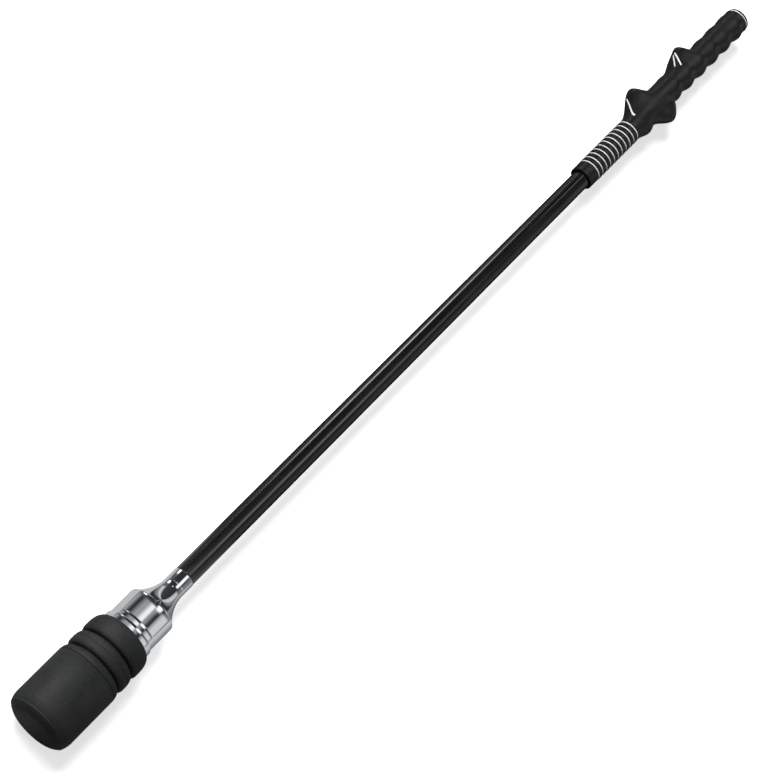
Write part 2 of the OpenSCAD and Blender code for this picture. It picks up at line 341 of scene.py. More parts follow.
headLook = {"grain": 1500, "cloud": 55, "dark": (0.009, 0.0095, 0.0095), "light": (0.031, 0.0325, 0.032),
            "specks": 0.5, "wear": 0.2, "wearScale": 400, "worn": (0.09, 0.09, 0.09), "roughness": 0.62,
            "specular": 0.1, "bump": 0.4, "depth": 0.00014}
gripLook = {"grain": 1100, "cloud": 70, "dark": (0.002, 0.002, 0.0025), "light": (0.006, 0.006, 0.0072),
            "specks": 0.1, "wear": 0.2, "wearScale": 400, "worn": (0.05, 0.05, 0.05), "roughness": 0.38,
            "specular": 0.5, "bump": 0.18, "depth": 0.0001}
capLook = dict(gripLook, dark=(0.007, 0.007, 0.007), light=(0.016, 0.016, 0.017), roughness=0.55)
sealLook = dict(gripLook, dark=(0.008, 0.008, 0.008), light=(0.02, 0.02, 0.02), roughness=0.7)


def polishedMetal(name, look):
    # bare or plated metal with smears that dull it and fine hairlines
    material, tree, shader = newMaterial(name, Metallic=1.0)
    marks = placeGroup(tree, handlingGroup, Smear_Scale=look["smear"], Hairline_Scale=look["hairline"])
    rough = rangeNode(tree, marks.outputs["Smear"], 0, 1, look["roughness"], look["roughness"] + look["haze"])
    rough = mathNode(tree, "ADD", rough, mathNode(tree, "MULTIPLY", marks.outputs["Hairlines"], look["haze"]))
    tree.links.new(rough, shader.inputs["Roughness"])
    mix = tree.nodes.new("ShaderNodeMix")
    mix.data_type = "RGBA"
    tree.links.new(marks.outputs["Smear"], mix.inputs["Factor"])
    mix.inputs["A"].default_value = (*look["bright"], 1)
    mix.inputs["B"].default_value = (*look["dull"], 1)
    tree.links.new(mix.outputs["Result"], shader.inputs["Base Color"])
    addBump(tree, shader, marks.outputs["Hairlines"], look["bump"], hairlineDepth)
    return material


hairlineDepth = 0.00003
chromeLook = {"smear": 45, "hairline": 900, "roughness": 0.035, "haze": 0.03, "bright": (0.90, 0.915, 0.93),
              "dull": (0.84, 0.86, 0.885), "bump": 0.05}
rawLook = {"smear": 60, "hairline": 2200, "roughness": 0.30, "haze": 0.14, "bright": (0.52, 0.53, 0.54),
           "dull": (0.40, 0.41, 0.42), "bump": 0.5}
zincLook = {"smear": 90, "hairline": 1500, "roughness": 0.24, "haze": 0.12, "bright": (0.66, 0.67, 0.68),
            "dull": (0.52, 0.54, 0.57), "bump": 0.3}
springLook = {"smear": 90, "hairline": 1500, "roughness": 0.34, "haze": 0.12, "bright": (0.34, 0.35, 0.36),
              "dull": (0.22, 0.22, 0.23), "bump": 0.3}


paintLook = {"smear": 25, "hairline": 1400, "wear": 0.5, "wearScale": 700, "black": (0.0035, 0.0035, 0.0042),
             "worn": (0.03, 0.03, 0.03), "roughness": (0.18, 0.3), "specular": 0.5, "coatRoughness": 0.05,
             "coatIor": 1.5, "peelScale": 500, "peel": 0.04, "peelDepth": 0.00004}


def makeShaftPaint():
    # black enamel under a clear gloss coat, with faint orange peel and dust-fine roughness changes
    material, tree, shader = newMaterial(
        "shaftPaint", Specular_IOR_Level=paintLook["specular"], Coat_Weight=1.0,
        Coat_Roughness=paintLook["coatRoughness"], Coat_IOR=paintLook["coatIor"])
    marks = placeGroup(tree, handlingGroup, Smear_Scale=paintLook["smear"], Hairline_Scale=paintLook["hairline"])
    wear = placeGroup(tree, wearGroup, Amount=paintLook["wear"], Scale=paintLook["wearScale"])
    mix = tree.nodes.new("ShaderNodeMix")
    mix.data_type = "RGBA"
    tree.links.new(wear.outputs["Mask"], mix.inputs["Factor"])
    mix.inputs["A"].default_value = (*paintLook["black"], 1)
    mix.inputs["B"].default_value = (*paintLook["worn"], 1)
    tree.links.new(mix.outputs["Result"], shader.inputs["Base Color"])
    rough = rangeNode(tree, marks.outputs["Smear"], 0, 1, *paintLook["roughness"])
    tree.links.new(rough, shader.inputs["Roughness"])
    place = tree.nodes.new("ShaderNodeTexCoord")
    peel = noiseNode(tree, 2)
    peel.inputs["Scale"].default_value = paintLook["peelScale"]
    tree.links.new(place.outputs["Object"], peel.inputs["Vector"])
    addBump(tree, shader, peel.outputs["Fac"], paintLook["peel"], paintLook["peelDepth"])
    return material


whiteLook = {"grain": 1300, "cloud": 120, "dark": (0.62, 0.62, 0.60), "light": (0.86, 0.86, 0.84), "specks": 0.1,
             "specular": 0.4, "bump": 0.12, "depth": 0.00005}


def makeWhite(name, roughness):
    # white inlay or paint with a slightly dirty grain
    material, tree, shader = newMaterial(name, Specular_IOR_Level=whiteLook["specular"])
    grain = placeGroup(tree, grainGroup, Grain_Scale=whiteLook["grain"], Cloud_Scale=whiteLook["cloud"],
                       Dark=(*whiteLook["dark"], 1), Light=(*whiteLook["light"], 1),
                       Speck_Amount=whiteLook["specks"])
    tree.links.new(grain.outputs["Color"], shader.inputs["Base Color"])
    tree.links.new(mathNode(tree, "ADD", grain.outputs["Roughness"], roughness), shader.inputs["Roughness"])
    addBump(tree, shader, grain.outputs["Height"], whiteLook["bump"], whiteLook["depth"])
    return material


tapeLook = {"weave": 420, "distortion": 0.6, "low": (0.45, 0.40, 0.30), "high": (0.72, 0.67, 0.55),
            "roughness": (0.9, 0.7), "sheen": 0.2, "bump": 0.4, "depth": 0.0001}


def makeTape():
    # a woven tape: two crossed waves round and along the sleeve
    material, tree, shader = newMaterial("wovenTape", Sheen_Weight=tapeLook["sheen"])
    place = tree.nodes.new("ShaderNodeTexCoord")
    waves = []
    for direction in ("X", "Z"):
        wave = tree.nodes.new("ShaderNodeTexWave")
        wave.bands_direction = direction
        wave.inputs["Scale"].default_value = tapeLook["weave"]
        wave.inputs["Distortion"].default_value = tapeLook["distortion"]
        tree.links.new(place.outputs["Object"], wave.inputs["Vector"])
        waves.append(wave.outputs["Fac"])
    weave = mathNode(tree, "MULTIPLY", waves[0], waves[1])
    ramp = tree.nodes.new("ShaderNodeValToRGB")
    ramp.color_ramp.elements[0].color = (*tapeLook["low"], 1)
    ramp.color_ramp.elements[1].color = (*tapeLook["high"], 1)
    tree.links.new(weave, ramp.inputs["Fac"])
    tree.links.new(ramp.outputs["Color"], shader.inputs["Base Color"])
    tree.links.new(rangeNode(tree, weave, 0, 1, *tapeLook["roughness"]), shader.inputs["Roughness"])
    addBump(tree, shader, weave, tapeLook["bump"], tapeLook["depth"])
    return material


headRubber = mouldedRubber("headRubber", headLook)
gripRubber = mouldedRubber("gripRubber", gripLook)
capRubber = mouldedRubber("capRubber", capLook)
sealRubber = mouldedRubber("sealRubber", sealLook)
chrome = polishedMetal("chromePlate", chromeLook)
rawSteel = polishedMetal("turnedSteel", rawLook)
zincSteel = polishedMetal("zincSteel", zincLook)
springSteel = polishedMetal("springSteel", springLook)
shaftPaint = makeShaftPaint()
whiteInlay = makeWhite("whiteInlay", 0.45)
whitePaint = makeWhite("whitePaint", 0.4)
wovenTape = makeTape()
print("materials made")


# the head's rubber cover, with two bands
cover = {"sides": 224, "crown": 3.6, "flat": 15.0, "edgeDrop": 1.4, "edgeRun": 7.0, "edgePower": 2.2,
         "edgeStart": 0.25, "bodyFrom": 20, "firstGroove": 30.2, "secondGroove": 16.8, "grooveDepth": 2.6,
         "slit": 1.6, "halfSlit": 0.85, "slitShare": 0.6, "creaseDrop": 0.28, "seam": 0.38, "seamAway": 6.2,
         "bandDrop": 0.45, "rearBandDrop": 0.8, "mouthDrop": 4.3, "firstRun": 5.2, "secondRun": 4.8,
         "afterRun": 3.0, "mouthRun": 9.5, "mouthDepth": 3.0, "mouthBore": 17.0, "coreBore": 15.02, "axisGap": 0.02}


def coverProfile():
    # from the middle of the end face outwards, along the side and back through the bore
    length, radius = span("rubber_cover")[1], radiusOf("rubber_cover")
    coreStart, coreEnd = span("weight_core")
    first, second = length - cover["firstGroove"], length - cover["secondGroove"]
    t = np.linspace(0, 1, 14)
    power, flat = cover["edgePower"], cover["flat"]
    edgeRadius = radius - cover["edgeDrop"]
    crown = np.stack([cover["crown"] * t ** power, flat + (edgeRadius - flat) * t], -1)
    centre = np.stack([np.zeros(8), np.linspace(cover["axisGap"], flat - 0.5, 8)], -1)
    u = np.linspace(0, 1, 12)[1:]
    side = np.stack([cover["crown"] + cover["edgeStart"] + cover["edgeRun"] * u,
                     radius - cover["edgeDrop"] * (1 - u) ** power], -1)
    half = cover["halfSlit"]
    band, rear = radius - cover["bandDrop"], radius - cover["rearBandDrop"]
    depth, slit = cover["grooveDepth"], cover["slit"]

    def shoulder(start, top, length, drop, crease, falling):
        # quarter-ellipse between a flat top and a groove floor, with a slight crease where it leaves the flat
        a = np.linspace(0, np.pi / 2, 14)
        rise = top - crease * 0.5 - (drop - crease * 0.5) * (1 - np.cos(a))
        if falling:
            return np.stack([start - length + length * np.sin(a), rise], -1)
        return np.stack([start + length - length * np.sin(a), rise], -1)[::-1]

    def seam(place, top):
        # a thin moulded line: a shallow V of half width and depth 'seam'
        small = cover["seam"]
        return [[place - small, top], [place - small / 4, top - small], [place + small / 4, top - small],
                [place + small, top]]

    def slitAt(place, top):  # the narrow bottom of a groove
        reach = half * cover["slitShare"]
        return [[place - reach, top - depth - slit], [place + reach, top - depth - slit]]

    outline = [
        centre, crown, [[cover["crown"] + 0.12, edgeRadius - cover["seam"]]], side, [[cover["bodyFrom"], radius]],
        seam(first - cover["seamAway"], radius),
        shoulder(first - half, radius, cover["firstRun"], depth, cover["creaseDrop"], True), slitAt(first, radius),
        shoulder(first + half, band, cover["afterRun"], depth - 0.4, 0.0, False), [[first + 4.3, band]],
        seam(second - cover["seamAway"], band),
        shoulder(second - half, band, cover["secondRun"], depth - 0.3, cover["creaseDrop"], True),
        slitAt(second, band),
        shoulder(second + half, rear, cover["afterRun"], depth - 0.7, 0.0, False), [[second + 4, rear]],
        shoulder(length, rear, cover["mouthRun"], cover["mouthDrop"], 0.0, True),
        [[length, coreStart + cover["mouthDepth"]], [coreEnd, cover["mouthBore"]], [coreEnd, cover["coreBore"]],
         [coreStart, cover["coreBore"]], [coreStart, cover["axisGap"]]]]
    return np.vstack(outline)


rubberCover = turned("rubberCover", coverProfile(), cover["sides"], closed=False)
finish(rubberCover, "head", headRubber, "head_rubber", "rubber_cover")
print("head cover made")


# the chrome parts: flange lip, spacer ring and bell
chromeSides = 200
flange = {"lipWidth": 5.0, "hub": 17.0, "bore": 7.0, "recess": 12.85, "recessDepth": 10.0, "edge": 0.7}
lipEnd, lipRadius = span("head_flange")[1], radiusOf("head_flange")
lipStart, recessEnd = lipEnd - flange["lipWidth"], lipEnd - flange["recessDepth"]
hubStart = span("head_flange")[0]
headFlange = turned("headFlange", rounded([
    (hubStart, flange["bore"], 0.2), (hubStart, flange["hub"], 0.4), (lipStart, flange["hub"], 0.2),
    (lipStart, lipRadius, flange["edge"]), (lipEnd, lipRadius, flange["edge"]), (lipEnd, flange["recess"], 0.3),
    (recessEnd, flange["recess"], 0.2), (recessEnd, flange["bore"], 0.2)]), chromeSides)
finish(headFlange, "head", chrome, "chrome", "head_flange")

sealSeat = {"bore": 7.08, "inner": 11.0, "outer": 15.5, "depth": 1.2}
ringStart, ringEnd = span("spacer_ring")
bellRadius = radiusOf("spacer_ring")
spacerRing = turned("spacerRing", rounded([
    (ringStart, sealSeat["bore"], 0.4), (ringStart, bellRadius, 0.35), (ringEnd, bellRadius, 0.35),
    (ringEnd, sealSeat["outer"], 0.15), (ringEnd - sealSeat["depth"], sealSeat["outer"], 0.1),
    (ringEnd - sealSeat["depth"], sealSeat["inner"], 0.1), (ringEnd, sealSeat["inner"], 0.15),
    (ringEnd, sealSeat["bore"], 0.4)]), chromeSides)
finish(spacerRing, "spacer", chrome, "chrome", "spacer_ring")

seal = turned("spacerSeal", rounded([
    (ringEnd - sealSeat["depth"], sealSeat["inner"], 0.1), (ringEnd - sealSeat["depth"], sealSeat["outer"], 0.1),
    (ringEnd, sealSeat["outer"], 0.4), (ringEnd, sealSeat["inner"], 0.4)]), 128)
finish(seal, "spacer", sealRubber, "seal_rubber", "spacer_seal")

bell = {"straight": 18.0, "flare": 22.4, "power": 2.1, "step": 0.35, "shoulderDrop": 1.2, "neck": 8.3,
        "insert": 10.5, "spigot": 6.3, "relief": 7.6}


def bellProfile():
    # straight barrel, small shoulder, then a flare: r = neck + (barrel - drop - neck) (1 - t)^power
    start, stop = span("bell_housing")
    barrelEnd = start + bell["straight"]
    t = np.linspace(0, 1, 60)
    top = bellRadius - bell["shoulderDrop"]
    flareRadius = bell["neck"] + (top - bell["neck"]) * (1 - t) ** bell["power"]
    flareLine = np.stack([barrelEnd + bell["step"] + (bell["flare"] - bell["step"]) * t, flareRadius], -1)
    insertEnd, spigotStart = span("socket_insert")[1], span("shaft_spigot")[0]
    barrel = rounded([
        (insertEnd, bell["insert"], 0.1), (start, bell["insert"], 0.3), (start, bellRadius, 0.35),
        (barrelEnd, bellRadius, 1.7), (barrelEnd + bell["step"], top, 0.1)])[6:-6]
    tail = rounded([
        (stop - 4, bell["neck"], 0.1), (stop, bell["neck"], 0.45), (stop, bell["spigot"], 0.2),
        (spigotStart, bell["spigot"], 0.1), (spigotStart, bell["relief"], 0.1), (insertEnd, bell["relief"], 0.1),
        (insertEnd, bell["insert"], 0.1)])[6:]
    return np.vstack([barrel, flareLine, tail])


bellHousing = turned("bellHousing", bellProfile(), 240)
finish(bellHousing, "stick", chrome, "chrome", "bell_housing")
print("chrome parts made")


# the screw: a bolt with a rolled thread, and a socket with the matching one
screw = {"pitch": 2.0, "radius": 7.0, "play": 0.02, "depth": 1.1, "steepness": 2.6, "crest": 0.15, "chamfer": 1.6,
         "hex": 21.0, "headHeight": 8.8, "faceRadius": 8.5, "cutRadius": 9.6, "bevel": 0.9, "collarRadius": 10.2,
         "threadInFlange": 8, "step": 0.1, "runOut": 2, "socketRadius": 8.2, "socketMouth": 7.1, "sides": 96}


def threadedRadius(x, angle, outer, depth):
    # a ridge whose height is a triangle wave with flattened tops, of x / pitch + angle / turn
    phase = (x / screw["pitch"] + angle / (2 * np.pi)) % 1.0
    ridge = np.clip(np.abs(phase - 0.5) * screw["steepness"] - screw["crest"], 0, 1)
    return outer - depth * ridge


def hexRadius(angle, acrossFlats):  # distance to a hexagon's side in each direction
    sector = (angle + np.pi / 6) % (np.pi / 3) - np.pi / 6
    return acrossFlats / 2 / np.cos(sector)


def boltPiece():
    # hexagon head, plain shank and thread, each the (x, radius) of its rows at every angle
    start, stop = span("core_bolt")
    headEnd = start + screw["headHeight"]
    threadStart = span("head_flange")[1] - screw["threadInFlange"]
    shank = screw["radius"] - screw["play"]
    angle = np.linspace(0, 2 * np.pi, screw["sides"], endpoint=False)
    uncut = 99
    limits = ringsAt(angle, [
        (start, screw["faceRadius"]), (start, screw["cutRadius"]), (start + screw["bevel"], uncut),
        (headEnd - 0.3, uncut), (headEnd, screw["collarRadius"])])
    limits[..., 1] = np.minimum(hexRadius(angle, screw["hex"]), limits[..., 1])  # a round cut chamfers the corners
    xs, angles = np.meshgrid(np.arange(threadStart + screw["step"], stop, screw["step"]), angle, indexing="ij")
    radius = threadedRadius(xs, angles, shank, screw["depth"])
    radius = shank - (shank - radius) * smoothStep((xs - threadStart) / screw["runOut"])
    radius = np.minimum(radius, screw["radius"] - screw["chamfer"] + (stop - xs))
    grid = np.concatenate([
        limits, ringsAt(angle, [(headEnd, shank), (threadStart, shank)]), np.stack([xs, radius], -1),
        ringsAt(angle, [(stop, screw["radius"] - screw["chamfer"] - 0.2)])])
    return gridMesh("coreBolt", wrapRound(grid, angle), closeStart=True, closeEnd=True)


finish(boltPiece(), "head", zincSteel, "zinc_steel", "core_bolt")


def insertPiece():
    # the outside from its far end to the near one, then the threaded bore back, widened at its mouth
    start, stop = span("socket_insert")
    angle = np.linspace(0, 2 * np.pi, screw["sides"], endpoint=False)
    xs, angles = np.meshgrid(np.arange(start + screw["step"], stop, screw["step"]), angle, indexing="ij")
    bore = threadedRadius(xs, angles, screw["socketRadius"], screw["depth"])
    bore = np.maximum(bore, screw["socketRadius"] - (xs - start))
    outer = bell["insert"]
    outside = ringsAt(angle, [(stop, outer), (start + 0.4, outer), (start, outer - 0.4),
                              (start, screw["socketRadius"] + 0.1)])
    last = ringsAt(angle, [(stop, screw["socketMouth"]), (stop, outer)])
    grid = np.concatenate([outside, np.stack([xs, bore], -1), last])
    return closeLoop(gridMesh("socketInsert", wrapRound(grid, angle)[:, ::-1]))


finish(insertPiece(), "stick", rawSteel, "raw_steel", "socket_insert")
print("screw made")


# the shaft
shaft = {"headRadius": 8.0, "gripRadius": 7.45, "bore": 6.3, "sides": 128}
shaftStart, shaftStop = span("shaft_tube")
mouth = span("grip_sleeve")[0]


def shaftProfile():
    # a straight taper, r = head + (grip - head) t, from a rounded end to the plain end in the grip
    t = np.linspace(0, 1, 40)
    start = rounded([
        (shaftStart + 30, shaft["bore"], 0.1), (shaftStart, shaft["bore"], 0.15),
        (shaftStart, shaft["headRadius"], 0.25), (mouth, shaft["gripRadius"], 0.1)], 5)[5:15]
    taper = np.stack([shaftStart + 1 + (mouth - shaftStart - 1) * t,
                      shaft["headRadius"] + (shaft["gripRadius"] - shaft["headRadius"]) * t], -1)
    tail = [[shaftStop, shaft["gripRadius"]], [shaftStop, shaft["bore"]]]
    return np.vstack([start, taper, tail])


shaftTube = turned("shaftTube", shaftProfile(), shaft["sides"])
finish(shaftTube, "stick", shaftPaint, "shaft_paint", "shaft_tube")
print("shaft made")


# the grip: its skin is a shifted round with four raised spots, finger waves and a crease on each flank
grip = {"collar": 9.6, "rear": 10.5, "collarShift": 0.2, "shift": 1.7, "growFrom": 61, "growRun": 38, "bore": 7.7,
        "ringWidth": 0.95, "rings": 11, "ringGroove": 0.5, "ribHeight": 0.3, "ribHalf": 0.36, "ribEnd": 65.0,
        "rows": 350, "columns": 176}
spots = {  # where each rises, peaks and ends along the grip, how steep both sides are, its direction and its width
    "frontLedge": {"height": 10.9, "span": (65, 90, 102.5), "steep": (1.0, 1.0), "angle": 4, "width": 30},
    "rearLedge": {"height": 8.4, "span": (118, 149.5, 158.5), "steep": (1.6, 0.8), "angle": 6, "width": 30},
    "lobe": {"height": 9.4, "span": (84, 99, 113.5), "steep": (0.7, 0.6), "angle": 172, "width": 27},
    "swell": {"height": 3.0, "span": (64, 76, 88), "steep": (1.0, 1.0), "angle": 180, "width": 40}}
waves = {"from": 111, "fade": 8, "crest": 118, "pitch": 17.2, "depth": 0.4, "more": 0.5, "edge": 108, "blend": 90}
crease = {"height": 0.9, "rimHeight": 0.7, "angle": 88, "slope": 16, "slopeFrom": 72, "slopeRun": 34, "radius": 12.5,
          "fade": 6.5, "edge": 1.1, "start": 70, "startRun": 7, "stop": 108, "stopRun": 4, "ovalAt": (97.5, 172),
          "ovalSize": (14.5, 50), "rimFrom": 0.9, "rimRun": 0.12}
gripLength = span("grip_sleeve")[1] - mouth
firstRing = span("ring_inlays")[0] + grip["ringWidth"] / 2 - mouth
ringPitch = (span("ring_inlays")[1] - span("ring_inlays")[0] - grip["ringWidth"]) / (grip["rings"] - 1)


def bump(x, rise, peak, fall, up, down):  # a smooth climb from rise to peak, then a smooth drop to fall
    climb = smoothStep((x - rise) / (peak - rise)) ** up
    drop = smoothStep((fall - x) / (fall - peak)) ** down
    return np.where(x < peak, climb, drop)


def fromAngle(angle, centre, width):  # a bell curve round the grip, in degrees
    away = np.abs((angle - centre + 180) % 360 - 180)
    return np.exp(-(away / width) ** 2)


def gripRadius(g, angle):
    # g is the distance from the mouth and angle is 0 on the ledge side and 90 on top, in degrees:
    # a shifted round + front ledge + rear ledge + finger lobe + swelling + finger waves
    grow = smoothStep((g - grip["growFrom"]) / grip["growRun"])
    radius = grip["collar"] + (grip["rear"] - grip["collar"]) * grow
    shifted = grip["collarShift"] + (grip["shift"] - grip["collarShift"]) * grow
    radius = radius + shifted * np.cos(np.radians(angle))
    for spot in spots.values():
        along = bump(g, *spot["span"], *spot["steep"])
        radius = radius + spot["height"] * along * fromAngle(angle, spot["angle"], spot["width"])
    reach = smoothStep((g - waves["from"]) / waves["fade"]) * smoothStep((gripLength - g) / waves["fade"])
    under = np.abs(angle % 360 - 180)
    depth = waves["depth"] + waves["more"] * smoothStep((waves["edge"] - under) / waves["blend"])
    return radius + depth * reach * np.cos(2 * np.pi * (g - waves["crest"]) / waves["pitch"])


def flankCrease(g, angle):
    # a terrace on both flanks that starts at the front ledge's mark and runs back to the finger lobe: sharp on the
    # ledge side and fading away over the finger side, plus a low rim round the lobe's oval
    side = 180 - np.abs((angle + 180) % 360 - 180)
    drop = crease["angle"] + crease["slope"] * smoothStep((g - crease["slopeFrom"]) / crease["slopeRun"])
    below = (180 - drop - side) * np.radians(1) * crease["radius"]
    terrace = np.where(below > 0, np.exp(-below / crease["fade"]), smoothStep(1 + below / crease["edge"]))
    reach = smoothStep((g - crease["start"]) / crease["startRun"])
    reach = reach * smoothStep((crease["stop"] - g) / crease["stopRun"])
    (ovalPlace, ovalAngle), (ovalLength, ovalWidth) = crease["ovalAt"], crease["ovalSize"]
    oval = np.sqrt(((g - ovalPlace) / ovalLength) ** 2 + ((180 - side - ovalAngle) / ovalWidth) ** 2)
    rim = 1 - smoothStep((oval - crease["rimFrom"]) / crease["rimRun"])
    return crease["height"] * terrace * reach * (1 - rim) + crease["rimHeight"] * rim


def ribHeight(g):
    # low convex ribs between the white rings, with a narrow groove at each ring
    inside = (g - firstRing) / ringPitch
    phase = (inside + 0.5) % 1.0 - 0.5
    count = grip["rings"] - 1
    among = (inside > -0.5) & (inside < count + 0.5)
    crest = grip["ribHeight"] * np.clip(1 - (np.abs(np.abs(phase) - 0.5) / grip["ribHalf"]) ** 2, 0, 1)
    groove = np.where(np.abs(phase) * ringPitch < grip["ringWidth"] / 2, -grip["ringGroove"], 0.0)
    ends = (inside > 0) & (inside < count)
    return np.where(among, np.where(ends, crest, 0) + groove, 0.0)


def gripPiece():
    # rows from inside the mouth, over its lip, along the skin to the butt and back over the end face
    ringCentres = firstRing + ringPitch * np.arange(grip["rings"])
    offsets = np.array([-2.2, -1.8, -1.4, -1.0, -0.7, -0.5, -0.47, -0.46, 0.46, 0.47, 0.5, 0.7, 1.0, 1.4, 1.8, 2.2,
                        2.555])
    ribbed = (ringCentres[:, None] + offsets[None]).ravel()
    g = np.concatenate([[0.45, 1.2, 4, 7], ribbed, np.linspace(grip["ribEnd"], gripLength, grip["rows"])])
    angle = np.linspace(0, 360, grip["columns"], endpoint=False)
    gs, angles = np.meshgrid(g, angle, indexing="ij")
    radius = gripRadius(gs, angles) + ribHeight(gs) + flankCrease(gs, angles)
    bore, collar = grip["bore"], grip["collar"]
    lead = ringsAt(angle, [(6.0, bore), (3.0, bore), (0.6, bore + 0.75), (0.15, bore + 0.95), (0.0, bore + 1.15),
                           (0.05, collar - 0.45), (0.2, collar - 0.15)])
    lead[3:, :, 1] += grip["collarShift"] * np.cos(np.radians(angle))
    tail = ringsAt(angle, [(gripLength, bore), (6.0, bore)])
    grid = np.concatenate([lead, np.stack([gs, radius], -1), tail]) + [mouth, 0]
    return closeLoop(gridMesh("gripSleeve", wrapRound(grid, np.radians(angle))))


gripSleeve = gripPiece()
finish(gripSleeve, "stick", gripRubber, "grip_rubber", "grip_sleeve")
print("grip made")

def ringProfiles():
    # a bar's section with a rounded outside, once at each ring's place
    half, outer, inner = grip["ringWidth"] / 2, grip["collar"] + 0.14, grip["collar"] - 0.58
    profile = rounded([(-half, inner, 0.05), (-half, outer, 0.3), (half, outer, 0.3), (half, inner, 0.05)], 4)
    return [profile + [mouth + firstRing + ringPitch * k, 0] for k in range(grip["rings"])]


def joinPieces(name, pieces):
    for piece in pieces:
        piece.select_set(True)
    bpy.context.view_layer.objects.active = pieces[0]
    bpy.ops.object.join()
    pieces[0].name = pieces[0].data.name = name
    pieces[0].select_set(False)
    return pieces[0]


smallSides = 128
bpy.ops.object.select_all(action="DESELECT")
rings = joinPieces("ringInlays", [
    turned("ring", profile, smallSides, centreY=grip["collarShift"]) for profile in ringProfiles()])
finish(rings, "stick", whiteInlay, "white_inlay", "ring_inlays")


stroke = {"width": 1.7, "lift": 0.12, "sunk": 0.4, "rows": 60, "columns": 9}


def strokePiece(name, start, stop, bow, width=stroke["width"]):
    # a flat bead along a path on the skin: across it, height falls from the middle to both edges
    t = np.linspace(0, 1, stroke["rows"])
    across = np.linspace(-1, 1, stroke["columns"])
    end = np.clip(np.sqrt(np.clip(1 - (np.abs(t - 0.5) * 2) ** 30, 0, 1)), 0.05, 1)
    gPath = start[0] + (stop[0] - start[0]) * t + bow * np.sin(np.pi * t)
    angle = start[1] + (stop[1] - start[1]) * t
    gs = gPath[:, None] + across[None] * width / 2 * end[:, None]
    angles = np.repeat(angle[:, None], len(across), 1)
    height = stroke["lift"] * (1 - across[None] ** 4) * end[:, None] + 0.01
    skin = gripRadius(gs, angles) + flankCrease(gs, angles)
    top = np.stack([gs, skin + height, angles], -1)
    under = np.stack([gs, skin - stroke["sunk"], angles], -1)[:, ::-1]
    loop = np.concatenate([top, under], 1)[:, ::-1]
    points = wrapRound(loop[..., :2] + [mouth, 0], np.radians(loop[..., 2]))
    return gridMesh(name, points, closeStart=True, closeEnd=True)


vMark = joinPieces("ledgeVMark", [
    strokePiece("strokeA", (142.1, 13.2), (132.6, 37.8), -0.6),
    strokePiece("strokeB", (144.4, 14.4), (136.7, 52.4), -0.8)])
finish(vMark, "stick", whitePaint, "white_paint", "ledge_v_mark")
lineMark = strokePiece("ledgeLineMark", (81.5, 7.3), (71.6, 58), -2.6, 1.8)
finish(lineMark, "stick", whitePaint, "white_paint", "ledge_line_mark")

buttStart, buttStop = span("butt_ring")
butt = {"ringSteps": 6, "capSteps": 5, "ringStand": 0.05, "capUnder": 0.1,
        "recess": 0.35, "vent": 1.25}
shift, ringOuter = grip["shift"], grip["rear"] + butt["ringStand"]
ringOutline = rounded([
    (buttStart, grip["bore"], 0.1), (buttStart, ringOuter, 0.4), (buttStop, ringOuter, 0.4),
    (buttStop, grip["bore"], 0.1)], butt["ringSteps"])
buttRing = turned("buttRing", ringOutline, smallSides, centreY=np.repeat([0, shift, shift, 0], butt["ringSteps"]))
finish(buttRing, "stick", whiteInlay, "white_inlay", "butt_ring")


def capPiece():
    # the plug in the tube, the collar in the sleeve and the rim off centre outside, with a vent along the axis:
    # corners are (x, radius, fillet) and the last column is each one's centre
    start, stop = span("butt_cap")
    r = grip["rear"] - butt["capUnder"]
    sunk = stop - butt["recess"]
    corners = np.array([
        (start, butt["vent"], 0.05, 0), (start, shaft["bore"], 0.5, 0), (shaftStop, shaft["bore"], 0.05, 0),
        (shaftStop, grip["bore"], 0.1, 0), (buttStop, grip["bore"], 0.05, 0), (buttStop, r, 0.25, shift),
        (stop - 0.9, r - 0.25, 1.4, shift), (stop, r - 2.0, 0.8, shift), (stop, 4.2, 0.2, 0), (sunk, 3.8, 0.2, 0),
        (sunk, 2.0, 0.2, 0), (stop - 0.1, 1.6, 0.1, 0), (stop - 0.1, butt["vent"], 0.05, 0)])
    outline = rounded(corners[:, :3], butt["capSteps"])
    return turned("buttCap", outline, smallSides, centreY=np.repeat(corners[:, 3], butt["capSteps"]))


finish(capPiece(), "stick", capRubber, "cap_rubber", "butt_cap")
print("inlays and butt made")

# CAD nodes that stay as they are and only get a material
plainNodes = {"weight_core": rawSteel, "core_washer": zincSteel, "lock_washer": springSteel, "jam_nut": zincSteel,
              "shaft_spigot": rawSteel, "grip_tape": wovenTape}
for label, material in plainNodes.items():
    nodes[label].material_slots[0].material = material

# the floor and light; the pairs are where each tone that mirrors see starts and ends, in metres
stage = {"floorSize": 14.0, "floorColour": (0.92, 0.92, 0.925), "roughness": 0.9, "lift": 0.62,
         "bounce": (0.25, 0.25, 0.25), "clearance": 0.0002, "head": (0.188, 0.212), "grip": (0.62, 0.68),
         "aside": (0.05, 0.12), "low": (-0.09, -0.02), "high": (-0.004, 0.004), "nearTone": 0.55, "farTone": 0.03,
         "gripTone": 0.14, "lowEdge": 0.13, "asideTone": 0.25, "tint": (0.97, 0.985, 1.0)}


